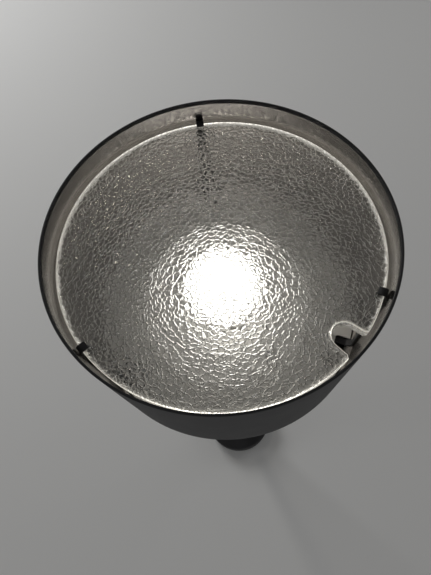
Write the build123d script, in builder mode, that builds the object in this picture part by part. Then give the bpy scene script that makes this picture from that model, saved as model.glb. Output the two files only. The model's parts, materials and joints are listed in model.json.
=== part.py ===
from build123d import *
from math import asin, atan2, cos, degrees, hypot, radians, sin, sqrt, tan
import os

# A table lamp that throws its light upwards. A spun drum on a cone, mouth up, stands on a thin stem
# and a small heavy base. A thick glass disc lies just below the mouth in three bent strip clips that
# stand on a reflector tray, and a round bulb comes up through the tray. The glass can be turned in its
# clips until the notch in its edge meets a clip, and is then tilted out to reach the bulb.
#
# Millimetres, +Z up. The origin is the centre of the underside, on the lamp's axis, and +Y points to
# the back, where the cord enters the base.

# ---------------------------------------------------------------- driving dimensions: base and stem
base_diameter = 100.0
base_height = 24.0
base_wall = 1.5
base_edge_round = 3.0
pad_margin = 4.0  # the pad stops this far inside the base's edge
pad_thickness = 2.0
plate_thickness = 1.5
weight_web = 5.5  # metal above the pocket in the weight
pocket_share = 0.54  # the pocket's radius as a share of the weight's
channel_width = 14.0  # the cord's way from the gland to the pocket
stem_diameter = 16.0
stem_wall = 1.5
stem_length = 403.0
stem_sink = 2.0  # depth of the stem's seat in the weight
bush_length = 8.0
collar_diameter = 18.5
collar_height = 5.0

# ---------------------------------------------------------------- driving dimensions: head
head_diameter = 165.0
head_wall = 1.2
drum_height = 84.0
cone_height = 82.0
shoulder_round = 1.6  # outside corner between drum and cone
mouth_round = 0.4
tray_gap = 2.3  # open ring between the tray and the drum
tray_thickness = 1.2
tray_collar_height = 3.0
tray_bead_width = 5.0
tray_bead_depth = 0.8
lens_thickness = 6.5
lens_recess = 12.7  # from the mouth down to the top of the glass
lens_edge_chamfer = 0.6
notch_diameter = 12.2
notch_centre_radius = 72.2
notch_angle = -39.0
notch_corner_round = 1.6
clip_angles = (99.0, 222.0, 341.0)
clip_width = 4.0
clip_thickness = 1.0
clip_bend = 1.2  # radius of the strip's bends, on its middle
clip_reach = 3.2  # how far a tab covers the glass
clip_foot_length = 19.0  # from the tray's edge in to the end of a clip's foot
clip_pad_thickness = 0.8
slot_length = 8.5  # cut-outs in the tray, beside the clips' legs
slot_width = 11.5
slot_lead = 2.5  # how far a cut-out runs past its leg's middle
slot_corner_round = 1.5

# ---------------------------------------------------------------- driving dimensions: fixings
tube_diameter = 10.0
tube_bore = 8.0
tube_end = 11.0  # height of the tube's lower end
nut_width = 14.0
nut_height = 4.0
washer_thickness = 1.2
head_washer_diameter = 16.4
base_washer_diameter = 22.0
bracket_width = 14.0
bracket_thickness = 1.6
bracket_knee_height = 42.0  # from the bracket's flat up to where its arms turn upright
bracket_flange = 12.0
bracket_bend = 3.0
bracket_edge_gap = 1.3  # between the bracket's first bend and the cone
bracket_reach_past_hole = 17.0
screw_shank = 3.0
screw_head = 5.5
screw_head_height = 1.8
tray_screw_angle = 130.0
tray_screw_length = 5.0
clip_screw_length = 4.0
weight_screw_length = 8.0  # those of the plate and of the cord clamp
tube_stand = 9.0  # the tube's end above the foot of the lampholder
holder_lift = 1.5  # the lampholder's foot above the lock nut

# ---------------------------------------------------------------- driving dimensions: lampholder, bulb
holder_diameter = 28.0
holder_base_height = 18.0
holder_skirt_height = 29.0
holder_wall = 1.5
holder_mouth_diameter = 18.4
holder_neck_diameter = 16.0
holder_neck_height = 4.0
holder_step = 1.0  # the base cup is this much smaller than the skirt, all round
contact_height = 33.0  # from the holder's foot up to the bulb's tip
bulb_length = 78.5
globe_diameter = 45.0
globe_wall = 1.0
globe_seat = 11.0  # from the globe's centre down to the housing's edge
cap_diameter = 13.9
cap_length = 18.5
thread_play = 0.3
bulb_hole_inset = 3.5  # how far the tray reaches in under the globe

# ---------------------------------------------------------------- driving dimensions: electrical parts
gland_bore = 6.2
gland_height = 10.0
gland_neck = 9.0
gland_flange = 12.0
gland_inner_flange = 11.2
gland_inner_length = 2.0
gland_outer_length = 2.5
gland_play = 1.0  # the inner flange's distance from the cover's inside
clamp_size = (27.0, 7.0, 1.4)
clamp_screw_spacing = 20.0
lead_diameter = 2.0
lead_spacing = 4.4
lead_bend = 4.0
block_size = (16.0, 12.0, 8.0)
block_screw_diameter = 2.8
block_screw_depth = 3.0
block_wall_gap = 9.0  # from the block's middle to the pocket's wall
lead_run_in = 3.0  # how far a lead reaches into the block

# ---------------------------------------------------------------- clearances
fit_gap = 0.1  # round parts that are clamped together
side_gap = 0.3  # a loose part beside its neighbour
clip_gap = 0.4  # clips to drum, cone and glass
recess_play = 1.0  # round the cord clamp, and under the screws in their blind holes

# ---------------------------------------------------------------- radii and levels worked out from these
base_radius = base_diameter / 2
weight_radius = base_radius - base_wall - side_gap
pocket_radius = pocket_share * weight_radius
rim_middle = (pocket_radius + weight_radius) / 2
stem_radius = stem_diameter / 2
stem_bore = stem_radius - stem_wall
tube_radius = tube_diameter / 2
collar_radius = collar_diameter / 2
head_radius = head_diameter / 2
drum_bore = head_radius - head_wall

plate_top = pad_thickness + plate_thickness
weight_top = base_height - base_wall
pocket_top = weight_top - weight_web
stem_bottom = weight_top - stem_sink
stem_top = stem_bottom + stem_length
cone_bottom = stem_top + collar_height
cone_top = cone_bottom + cone_height
mouth = cone_top + drum_height
lens_top = mouth - lens_recess
lens_bottom = lens_top - lens_thickness

cone_lean = atan2(head_radius - collar_radius, cone_height)  # angle of the cone's wall off the axis


def cone_inside(height):
    """Inner radius of the cone at a height, on its straight wall."""
    return collar_radius + (height - cone_bottom) * tan(cone_lean) - head_wall / cos(cone_lean)


def cone_inside_height(radius):
    """Height at which the cone's inner wall has a radius."""
    return cone_bottom + (radius - collar_radius + head_wall / cos(cone_lean)) / tan(cone_lean)


tray_radius = drum_bore - tray_gap
tray_bottom = cone_inside_height(tray_radius) + fit_gap
tray_top = tray_bottom + tray_thickness
bulb_hole = globe_diameter / 2 - bulb_hole_inset

clip_outer = drum_bore - clip_gap
clip_middle = clip_outer - clip_thickness / 2
lens_radius = clip_outer - clip_thickness - clip_gap
clip_pad_top = lens_bottom - side_gap
lug_top = clip_pad_top - clip_pad_thickness
clip_foot_radius = tray_radius - clip_foot_length
clip_screw_radius = (clip_foot_radius + tray_radius - slot_length) / 2

head_floor = cone_bottom + head_wall
lower_nut_bottom = head_floor + washer_thickness
bracket_bottom = lower_nut_bottom + nut_height
bracket_top = bracket_bottom + bracket_thickness
holder_bottom = bracket_top + nut_height + holder_lift
tube_top = holder_bottom + tube_stand
bracket_flat = sqrt(cone_inside(bracket_bottom) ** 2 - (bracket_width / 2) ** 2) - bracket_edge_gap
bracket_reach = bulb_hole + bracket_reach_past_hole
tray_screw_radius = bracket_reach + bracket_flange / 2
tray_bead_radius = (bracket_reach + bracket_flange + clip_foot_radius) / 2

bulb_tip = holder_bottom + contact_height
bulb_top = bulb_tip + bulb_length
globe_centre = bulb_top - globe_diameter / 2
housing_top = globe_centre - globe_seat
cap_bottom = bulb_tip + 4.0
cap_top = cap_bottom + cap_length


# ---------------------------------------------------------------- helpers
def level(height, angle=0.0):
    """Horizontal work plane at a height, its X axis turned about the lamp's axis."""
    return Plane.XY.offset(height).rotated((0, 0, angle))


def radial_plane(angle):
    """Upright work plane through the lamp's axis: X points outwards at an angle, Y points up."""
    turn = radians(angle)
    return Plane(origin=(0, 0, 0), x_dir=(cos(turn), sin(turn), 0), z_dir=(sin(turn), -cos(turn), 0))


def polar_point(radius, angle):
    """Point in plan at a radius and an angle in degrees."""
    return (radius * cos(radians(angle)), radius * sin(radians(angle)))


def flat_ring(radius, bore, bottom, thickness):
    """Flat ring on the lamp's axis."""
    with BuildPart() as ring:
        with BuildSketch(level(bottom)):
            Circle(radius)
            Circle(bore, mode=Mode.SUBTRACT)
        extrude(amount=thickness)
    return ring


def hex_nut(bottom):
    """Thin hexagon nut for the threaded tube, its corners turned off at 30 degrees at both faces."""
    corner = nut_width / sqrt(3)
    bevel = (corner - nut_width / 2) * tan(radians(30))
    bore = tube_radius + fit_gap
    top = bottom + nut_height
    with BuildPart() as nut:
        with BuildSketch(Plane.XZ):
            with BuildLine():
                Polyline(
                    (bore, bottom), (nut_width / 2, bottom), (corner, bottom + bevel),
                    (corner, top - bevel), (nut_width / 2, top), (bore, top),
                    close=True,
                )
            make_face()
        revolve(axis=Axis.Z)
        with BuildSketch(level(bottom)):
            RegularPolygon(nut_width / 2, 6, major_radius=False)
        extrude(amount=nut_height, mode=Mode.INTERSECT)
    return nut


def pan_screws(points, seat, length, upwards=False):
    """Pan-head screws at points in plan. Heads rest on the seat, shanks point the other way."""
    way = -1 if upwards else 1
    with BuildPart() as screws:
        with BuildSketch(level(seat)):
            with Locations(*points):
                Circle(screw_head / 2)
        extrude(amount=way * screw_head_height)
        crown = screws.edges().group_by(Axis.Z)[0 if upwards else -1]
        chamfer(crown, screw_head_height * 0.4)
        with BuildSketch(level(seat)):
            with Locations(*points):
                Circle(screw_shank / 2)
        extrude(amount=-way * length)
    return screws


def turned(*points):
    """Ring turned about the lamp's axis from corners given as radius and height."""
    with BuildPart() as body:
        with BuildSketch(Plane.XZ):
            with BuildLine():
                Polyline(*points, close=True)
            make_face()
        revolve(axis=Axis.Z)
    return body


screw_hole = screw_shank / 2 + fit_gap

# ---------------------------------------------------------------- base
with BuildPart() as base_pad:
    with BuildSketch(level(0)):
        Circle(base_radius - pad_margin)
    extrude(amount=pad_thickness)

plate_screw_points = [polar_point(rim_middle, angle) for angle in (30, 150, 270)]
clamp_screw_points = [(-clamp_screw_spacing / 2, rim_middle), (clamp_screw_spacing / 2, rim_middle)]

with BuildPart() as base_plate:
    with BuildSketch(level(pad_thickness)):
        Circle(weight_radius)
    extrude(amount=plate_thickness)
    with BuildSketch(level(pad_thickness)):
        with Locations(*plate_screw_points):
            Circle(screw_head / 2 + fit_gap)
    extrude(amount=plate_thickness, taper=45, mode=Mode.SUBTRACT)
    with BuildSketch(level(pad_thickness)):
        with Locations(*plate_screw_points):
            Circle(screw_hole)
    extrude(amount=plate_thickness, mode=Mode.SUBTRACT)

# countersunk screws, put in from below: a cone for each head and a shank into the weight
with BuildPart() as base_plate_screws:
    with BuildSketch(level(pad_thickness)):
        with Locations(*plate_screw_points):
            Circle(screw_head / 2)
    extrude(amount=(screw_head - screw_shank) / 2, taper=45)
    with BuildSketch(level(pad_thickness)):
        with Locations(*plate_screw_points):
            Circle(screw_shank / 2)
    extrude(amount=weight_screw_length)

# iron disc with a pocket below for the nut and the terminals, and a channel to the gland
clamp_seat = gland_height - gland_bore / 2
with BuildPart() as base_weight:
    with BuildSketch(level(plate_top)):
        Circle(weight_radius)
    extrude(amount=weight_top - plate_top)
    chamfer(base_weight.edges().group_by(Axis.Z)[-1], base_edge_round * 0.8)
    with BuildSketch(level(plate_top)):
        Circle(pocket_radius)
        with Locations((0, weight_radius / 2)):
            Rectangle(channel_width, weight_radius)
    extrude(amount=pocket_top - plate_top, mode=Mode.SUBTRACT)
    with BuildSketch(level(plate_top)):
        with Locations((0, rim_middle)):
            Rectangle(clamp_size[0] + recess_play, clamp_size[1] + 2 * recess_play)
    extrude(amount=clamp_seat - plate_top, mode=Mode.SUBTRACT)
    with BuildSketch(level(weight_top)):
        Circle(stem_radius + fit_gap)
    extrude(amount=-stem_sink, mode=Mode.SUBTRACT)
    with BuildSketch(level(weight_top)):
        Circle(tube_radius + fit_gap)
    extrude(amount=-weight_web, mode=Mode.SUBTRACT)
    with BuildSketch(level(plate_top)):
        with Locations(*plate_screw_points):
            Circle(screw_hole)
    extrude(amount=weight_screw_length + recess_play, mode=Mode.SUBTRACT)
    with BuildSketch(level(clamp_seat)):
        with Locations(*clamp_screw_points):
            Circle(screw_hole)
    extrude(amount=weight_screw_length, mode=Mode.SUBTRACT)

# pressed steel cover over the weight: rounded top edge, holes for the stem and the gland
with BuildPart() as base_cover:
    with BuildSketch(Plane.XZ) as wall:
        with BuildLine():
            Polyline(
                (stem_radius + fit_gap, weight_top),
                (stem_radius + fit_gap, base_height),
                (base_radius, base_height),
                (base_radius, pad_thickness),
                (base_radius - base_wall, pad_thickness),
                (base_radius - base_wall, weight_top),
                close=True,
            )
        make_face()
        top_corners = wall.vertices().filter_by_position(Axis.Y, weight_top, base_height).sort_by(Axis.X)
        fillet(top_corners[-1], base_edge_round)
        fillet(top_corners[-2], base_edge_round - base_wall)
    revolve(axis=Axis.Z)
    with BuildSketch(Plane.XZ):
        with Locations((0, gland_height)):
            Circle(gland_neck / 2 + fit_gap)
    extrude(amount=-base_diameter, mode=Mode.SUBTRACT)

# ---------------------------------------------------------------- stem and what clamps it
base_washer = flat_ring(base_washer_diameter / 2, tube_radius + fit_gap,
                        pocket_top - washer_thickness, washer_thickness)
base_nut = hex_nut(pocket_top - washer_thickness - nut_height)
threaded_tube = flat_ring(tube_radius, tube_bore / 2, tube_end, tube_top - tube_end)
stem_tube = flat_ring(stem_radius, stem_bore, stem_bottom, stem_length)
stem_bush = flat_ring(stem_bore - fit_gap, tube_radius + fit_gap, stem_bottom, bush_length)

# the collar's spigot centres the top of the stem
collar_chamfer = 0.6
head_collar = turned(
    (tube_radius + fit_gap, stem_top - bush_length),
    (stem_bore - fit_gap, stem_top - bush_length),
    (stem_bore - fit_gap, stem_top),
    (collar_radius - collar_chamfer, stem_top),
    (collar_radius, stem_top + collar_chamfer),
    (collar_radius, cone_bottom),
    (tube_radius + fit_gap, cone_bottom),
)

# ---------------------------------------------------------------- head shell
# one spinning: floor, straight cone, rounded shoulder and drum, all of one wall
with BuildPart() as head_shell:
    with BuildSketch(Plane.XZ) as wall:
        with BuildLine():
            Polyline(
                (tube_radius + fit_gap, cone_bottom),
                (collar_radius, cone_bottom),
                (head_radius, cone_top),
                (head_radius, mouth),
                (drum_bore, mouth),
                (drum_bore, cone_inside_height(drum_bore)),
                (cone_inside(head_floor), head_floor),
                (tube_radius + fit_gap, head_floor),
                close=True,
            )
        make_face()
        corners = wall.vertices().filter_by_position(Axis.X, drum_bore - 1, head_radius + 1)
        shoulder = corners.filter_by_position(Axis.Y, cone_top - 2, cone_top + 2).sort_by(Axis.X)
        lip = corners.group_by(Axis.Y)[-1]
        fillet(shoulder[-1], shoulder_round)
        fillet(shoulder[0], shoulder_round - head_wall * 0.7)
        fillet(lip, mouth_round)
    revolve(axis=Axis.Z)

head_washer = flat_ring(head_washer_diameter / 2, tube_radius + fit_gap, head_floor, washer_thickness)
head_nut = hex_nut(lower_nut_bottom)
bracket_nut = hex_nut(bracket_top)

# ---------------------------------------------------------------- bridge bracket
# strap bent up on both sides of the tube: flat, leaning arms, upright arms, flanges under the tray
bracket_mid = bracket_bottom + bracket_thickness / 2
flange_mid = tray_bottom - bracket_thickness / 2
knee = bracket_mid + bracket_knee_height
arm = [
    (bracket_flat, bracket_mid),
    (bracket_reach, knee),
    (bracket_reach, flange_mid),
    (bracket_reach + bracket_flange, flange_mid),
]
with BuildPart() as bridge_bracket:
    with BuildSketch(radial_plane(tray_screw_angle)):
        with BuildLine() as strap:
            FilletPolyline([(-x, z) for x, z in reversed(arm)] + arm, radius=bracket_bend)
        trace(strap.line, line_width=bracket_thickness)
    extrude(amount=bracket_width / 2, both=True)
    with BuildSketch(level(bracket_mid)):
        Circle(tube_radius + fit_gap)
    extrude(amount=bracket_thickness, both=True, mode=Mode.SUBTRACT)
    with BuildSketch(level(flange_mid, tray_screw_angle)):
        with Locations((tray_screw_radius, 0), (-tray_screw_radius, 0)):
            Circle(screw_hole)
    extrude(amount=bracket_thickness, both=True, mode=Mode.SUBTRACT)

# ---------------------------------------------------------------- lampholder
holder_radius = holder_diameter / 2
base_cup_top = holder_bottom + holder_base_height
skirt_top = base_cup_top + holder_skirt_height
core_radius = holder_radius - holder_wall - fit_gap
core_floor = bulb_tip - 2.6  # the contact springs up from here
core_web = 1.5  # left between the leads' holes and the screw shell
shell_bore = cap_diameter / 2 + thread_play
shell_wall = 0.6
shell_floor_bore = 4.6
shell_top = skirt_top - holder_wall - holder_step
holder_mouth = holder_mouth_diameter / 2

# base cup with a neck for the threaded tube
neck_radius = holder_neck_diameter / 2
neck_top = holder_bottom + holder_neck_height
cup_radius = holder_radius - holder_step
cup_floor = neck_top + (cup_radius - neck_radius) * 0.8
holder_base = turned(
    (tube_radius + fit_gap, holder_bottom),
    (neck_radius, holder_bottom),
    (neck_radius, neck_top),
    (cup_radius, cup_floor),
    (cup_radius, base_cup_top),
    (cup_radius - holder_wall, base_cup_top),
    (cup_radius - holder_wall, cup_floor + holder_wall),
    (neck_radius, neck_top + 2 * holder_wall),
    (tube_radius + fit_gap, neck_top + 2 * holder_wall),
)

# plain skirt, turned in at the mouth
holder_skirt = turned(
    (holder_radius - holder_wall, base_cup_top),
    (holder_radius, base_cup_top),
    (holder_radius, skirt_top - holder_wall),
    (holder_radius - holder_wall, skirt_top),
    (holder_mouth, skirt_top),
    (holder_mouth, skirt_top - holder_wall),
    (holder_radius - holder_wall, skirt_top - holder_wall),
)

with BuildPart() as holder_core:
    with BuildSketch(level(base_cup_top + fit_gap)):
        Circle(core_radius)
    extrude(amount=skirt_top - holder_wall - base_cup_top - 2 * fit_gap)
    with BuildSketch(level(core_floor)):
        Circle(shell_bore + shell_wall + fit_gap)
    extrude(amount=skirt_top - core_floor, mode=Mode.SUBTRACT)
    with BuildSketch(level(base_cup_top)):
        with Locations((lead_spacing / 2, 0), (-lead_spacing / 2, 0)):
            Circle(lead_diameter / 2 + fit_gap)
    extrude(amount=core_floor - base_cup_top - core_web, mode=Mode.SUBTRACT)

screw_shell = turned(
    (shell_floor_bore, core_floor),
    (shell_bore + shell_wall, core_floor),
    (shell_bore + shell_wall, shell_top),
    (shell_bore, shell_top),
    (shell_bore, core_floor + shell_wall),
    (shell_floor_bore, core_floor + shell_wall),
)

# sprung tongue under the bulb's tip
tongue_thickness = 0.4
tongue_width = 3.2
tongue_ends = (3.8, 2.2, 0.9)  # half lengths: end of the foot, start of the rise, start of the crest
tongue_top = bulb_tip - side_gap - tongue_thickness / 2
tongue_foot = core_floor + tongue_thickness / 2
with BuildPart() as centre_contact:
    with BuildSketch(Plane.XZ):
        with BuildLine() as tongue:
            half = list(zip(tongue_ends, (tongue_foot, tongue_foot, tongue_top)))
            FilletPolyline([(-x, z) for x, z in half] + half[::-1], radius=tongue_thickness)
        trace(tongue.line, line_width=tongue_thickness)
    extrude(amount=tongue_width / 2, both=True)

# ---------------------------------------------------------------- bulb
cap_radius = cap_diameter / 2
tip_radius = 2.4
tip_height = 1.2
cap_bevel = 0.8
housing_step = 1.2
globe_radius = globe_diameter / 2
globe_foot = sqrt(globe_radius ** 2 - globe_seat ** 2)
globe_slope = (globe_seat, globe_foot)

bulb_tip_contact = turned(
    (0, bulb_tip),
    (tip_radius - cap_bevel, bulb_tip),
    (tip_radius, bulb_tip + cap_bevel),
    (tip_radius, bulb_tip + tip_height),
    (0, bulb_tip + tip_height),
)
bulb_insulator = turned(
    (0, bulb_tip + tip_height),
    (tip_radius + 0.6, bulb_tip + tip_height),
    (cap_radius - cap_bevel, cap_bottom),
    (0, cap_bottom),
)
bulb_cap = turned(
    (0, cap_bottom),
    (cap_radius - cap_bevel, cap_bottom),
    (cap_radius, cap_bottom + cap_bevel),
    (cap_radius, cap_top),
    (0, cap_top),
)

# flared housing that meets the globe in a smooth line
with BuildPart() as bulb_housing:
    with BuildSketch(Plane.XZ):
        with BuildLine():
            foot = Line((0, cap_top), (cap_radius + housing_step, cap_top))
            flare = Spline(foot @ 1, (globe_foot, housing_top), tangents=[(0, 1), globe_slope])
            edge = Line(flare @ 1, (0, housing_top))
            Line(edge @ 1, foot @ 0)
        make_face()
    revolve(axis=Axis.Z)

board_inset = 3.0
board_thickness = 1.6
board_hole = 1.5
bulb_led_board = flat_ring(globe_foot - board_inset, board_hole, housing_top, board_thickness)

with BuildPart() as bulb_globe:
    with BuildSketch(Plane.XZ):
        with Locations((0, globe_centre)):
            Circle(globe_radius)
            Circle(globe_radius - globe_wall, mode=Mode.SUBTRACT)
        with Locations((-globe_radius, globe_centre)):
            Rectangle(globe_diameter, 2 * globe_diameter, mode=Mode.SUBTRACT)
        with Locations((0, housing_top - globe_radius)):
            Rectangle(2 * globe_diameter, globe_diameter, mode=Mode.SUBTRACT)
    revolve(axis=Axis.Z)

# ---------------------------------------------------------------- reflector tray
# pressed disc that drops onto the cone's wall: turned-up collar round the bulb, a shallow ring bead,
# and beside each clip a cut-out that the clip's foot goes down through
bead_inner = tray_bead_radius - tray_bead_width / 2
bead_outer = tray_bead_radius + tray_bead_width / 2
with BuildPart() as reflector_tray:
    with BuildSketch(Plane.XZ):
        with BuildLine():
            Polyline(
                (bulb_hole, tray_bottom),
                (bead_inner - tray_bead_depth, tray_bottom),
                (bead_inner, tray_bottom + tray_bead_depth),
                (bead_outer, tray_bottom + tray_bead_depth),
                (bead_outer + tray_bead_depth, tray_bottom),
                (tray_radius, tray_bottom),
                (tray_radius, tray_top),
                (bead_outer + tray_bead_depth, tray_top),
                (bead_outer, tray_top + tray_bead_depth),
                (bead_inner, tray_top + tray_bead_depth),
                (bead_inner - tray_bead_depth, tray_top),
                (bulb_hole + tray_thickness, tray_top),
                (bulb_hole + tray_thickness, tray_top + tray_collar_height),
                (bulb_hole, tray_top + tray_collar_height),
                close=True,
            )
        make_face()
    revolve(axis=Axis.Z)
    for angle in clip_angles:
        with BuildSketch(level(tray_bottom, angle)):
            with Locations((tray_radius, slot_lead - slot_width / 2)):
                RectangleRounded(2 * slot_length, slot_width, slot_corner_round)
        extrude(amount=tray_thickness, mode=Mode.SUBTRACT)
        with BuildSketch(level(tray_bottom, angle)):
            with Locations((clip_screw_radius, 0)):
                Circle(screw_hole)
        extrude(amount=tray_thickness, mode=Mode.SUBTRACT)
    with BuildSketch(level(tray_bottom, tray_screw_angle)):
        with Locations((tray_screw_radius, 0), (-tray_screw_radius, 0)):
            Circle(screw_hole)
    extrude(amount=tray_thickness, mode=Mode.SUBTRACT)

tray_screw_points = [polar_point(tray_screw_radius, tray_screw_angle + turn) for turn in (0, 180)]
clip_screw_points = [polar_point(clip_screw_radius, angle) for angle in clip_angles]
tray_screws = pan_screws(tray_screw_points, tray_top, tray_screw_length)
clip_screws = pan_screws(clip_screw_points, tray_top, clip_screw_length)

# ---------------------------------------------------------------- lens clips and their pads
# each is one strip: foot under the tray, ramp along the cone, leg up the drum, tab over the glass,
# and a lug pressed out of the leg to carry the glass
foot_mid = tray_bottom - clip_thickness / 2
ramp_offset = (clip_gap + clip_thickness / 2) / cos(cone_lean)
heel_radius = cone_inside(foot_mid) - ramp_offset
leg_bottom = cone_inside_height(clip_middle + ramp_offset)
tab_mid = lens_top + clip_gap + clip_thickness / 2
tab_end = lens_radius - clip_reach
lug_mid = lug_top - clip_thickness / 2
clip_path = [
    (clip_foot_radius, foot_mid),
    (heel_radius, foot_mid),
    (clip_middle, leg_bottom),
    (clip_middle, tab_mid),
    (tab_end, tab_mid),
]
lens_clips = []
for angle in clip_angles:
    with BuildPart() as lens_clip:
        with BuildSketch(radial_plane(angle)):
            with BuildLine() as strip:
                FilletPolyline(clip_path, radius=clip_bend)
            trace(strip.line, line_width=clip_thickness)
            with Locations(((tab_end + clip_middle) / 2, lug_mid)):
                Rectangle(clip_middle - tab_end, clip_thickness)
        extrude(amount=clip_width / 2, both=True)
        with BuildSketch(level(foot_mid, angle)):
            with Locations((clip_screw_radius, 0)):
                Circle(screw_hole)
        extrude(amount=clip_thickness, both=True, mode=Mode.SUBTRACT)
    lens_clips.append(lens_clip)

pad_inner = tab_end + side_gap
pad_outer = clip_outer - clip_thickness - side_gap
with BuildPart() as clip_pads:
    for angle in clip_angles:
        with BuildSketch(level(lug_top, angle)):
            with Locations(((pad_inner + pad_outer) / 2, 0)):
                Rectangle(pad_outer - pad_inner, clip_width)
        extrude(amount=clip_pad_thickness)

# ---------------------------------------------------------------- lens
# glass disc; the notch is a round hole opened to the edge by two radial sides that touch the hole
notch_radius = notch_diameter / 2
notch_half_angle = degrees(asin(notch_radius / notch_centre_radius))
touch_radius = sqrt(notch_centre_radius ** 2 - notch_radius ** 2)
with BuildPart() as lens:
    with BuildSketch(level(lens_bottom, notch_angle)) as outline:
        Circle(lens_radius)
        with Locations((notch_centre_radius, 0)):
            Circle(notch_radius, mode=Mode.SUBTRACT)
        with BuildLine():
            Polyline(
                polar_point(touch_radius, notch_half_angle),
                polar_point(lens_radius + notch_radius, notch_half_angle),
                polar_point(lens_radius + notch_radius, -notch_half_angle),
                polar_point(touch_radius, -notch_half_angle),
                close=True,
            )
        make_face(mode=Mode.SUBTRACT)
        mouth_corners = [v for v in outline.vertices() if hypot(v.X, v.Y) > lens_radius - 0.01]
        fillet([v for v in mouth_corners if abs(v.Y) > 0.1 and v.X > 0], notch_corner_round)
    extrude(amount=lens_thickness)
    chamfer(lens.faces().filter_by(Axis.Z).edges(), lens_edge_chamfer)

# ---------------------------------------------------------------- electrical parts in the base
gland_inner_face = base_radius - base_wall - gland_play
gland_outer_face = base_radius + fit_gap
gland_end = gland_outer_face + gland_outer_length
gland_lip = 0.8
with BuildPart() as cable_gland:
    with BuildSketch(Plane.YZ):
        with BuildLine():
            Polyline(
                (gland_inner_face - gland_inner_length, gland_height + gland_bore / 2),
                (gland_inner_face - gland_inner_length, gland_height + gland_inner_flange / 2),
                (gland_inner_face, gland_height + gland_inner_flange / 2),
                (gland_inner_face, gland_height + gland_neck / 2),
                (gland_outer_face, gland_height + gland_neck / 2),
                (gland_outer_face, gland_height + gland_flange / 2),
                (gland_outer_face + gland_outer_length * 0.6, gland_height + gland_flange / 2 - gland_lip),
                (gland_end, gland_height + gland_bore / 2 + gland_lip),
                (gland_end, gland_height + gland_bore / 2),
                close=True,
            )
        make_face()
    revolve(axis=Axis((0, 0, gland_height), (0, 1, 0)))

# strap across the channel, just under where a cord lies
clamp_bottom = clamp_seat - clamp_size[2]
with BuildPart() as cord_clamp:
    with BuildSketch(level(clamp_bottom)):
        with Locations((0, rim_middle)):
            SlotOverall(clamp_size[0], clamp_size[1])
        with Locations(*clamp_screw_points):
            Circle(screw_hole, mode=Mode.SUBTRACT)
    extrude(amount=clamp_size[2])
cord_clamp_screws = pan_screws(clamp_screw_points, clamp_bottom, weight_screw_length, upwards=True)

block_place = block_wall_gap - pocket_radius
block_top = plate_top + block_size[2]
block_front = block_place + block_size[1] / 2
lead_height = plate_top + block_size[2] * 0.44
pole_points = [(-lead_spacing / 2, block_place), (lead_spacing / 2, block_place)]
with BuildPart() as terminal_block:
    with BuildSketch(level(plate_top)):
        with Locations((0, block_place)):
            RectangleRounded(block_size[0], block_size[1], 1.0)
    extrude(amount=block_size[2])
    with BuildSketch(Plane.XZ.offset(-block_front)):
        with Locations(*[(x, lead_height) for x, y in pole_points]):
            Circle(lead_diameter / 2 + side_gap)
    extrude(amount=block_size[1], mode=Mode.SUBTRACT)
    with BuildSketch(level(block_top)):
        with Locations(*pole_points):
            Circle(block_screw_diameter / 2 + fit_gap)
    extrude(amount=-block_screw_depth, mode=Mode.SUBTRACT)

with BuildPart() as terminal_screws:
    with BuildSketch(level(block_top - block_screw_depth)):
        with Locations(*pole_points):
            Circle(block_screw_diameter / 2)
    extrude(amount=block_screw_depth - recess_play)

# two insulated leads: out of the terminals, round one bend and up the tube into the holder
lead_top = base_cup_top + holder_neck_height
with BuildPart() as inner_leads:
    for x, y in pole_points:
        with BuildLine() as route:
            FilletPolyline(
                (x, block_front - lead_run_in, lead_height),
                (x, 0, lead_height),
                (x, 0, lead_top),
                radius=lead_bend,
            )
        with BuildSketch(Plane(origin=route.line @ 0, z_dir=route.line % 0)):
            Circle(lead_diameter / 2)
        sweep(path=route.line)

# ---------------------------------------------------------------- labels and files
pieces = {
    "base_pad": base_pad,
    "base_plate": base_plate,
    "base_plate_screws": base_plate_screws,
    "base_weight": base_weight,
    "base_cover": base_cover,
    "base_washer": base_washer,
    "base_nut": base_nut,
    "cable_gland": cable_gland,
    "cord_clamp": cord_clamp,
    "cord_clamp_screws": cord_clamp_screws,
    "terminal_block": terminal_block,
    "terminal_screws": terminal_screws,
    "inner_leads": inner_leads,
    "stem_tube": stem_tube,
    "stem_bush": stem_bush,
    "threaded_tube": threaded_tube,
    "head_collar": head_collar,
    "head_shell": head_shell,
    "head_washer": head_washer,
    "head_nut": head_nut,
    "bridge_bracket": bridge_bracket,
    "bracket_nut": bracket_nut,
    "holder_base": holder_base,
    "holder_skirt": holder_skirt,
    "holder_core": holder_core,
    "screw_shell": screw_shell,
    "centre_contact": centre_contact,
    "bulb_tip_contact": bulb_tip_contact,
    "bulb_insulator": bulb_insulator,
    "bulb_cap": bulb_cap,
    "bulb_housing": bulb_housing,
    "bulb_led_board": bulb_led_board,
    "bulb_globe": bulb_globe,
    "reflector_tray": reflector_tray,
    "tray_screws": tray_screws,
    "clip_screws": clip_screws,
    "clip_pads": clip_pads,
    "lens": lens,
}
for number, lens_clip in enumerate(lens_clips, start=1):
    pieces[f"lens_clip_{number}"] = lens_clip

os.makedirs("parts", exist_ok=True)
for name, piece in pieces.items():
    piece.part.label = name
    export_step(piece.part, f"parts/{name}.step")
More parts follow.
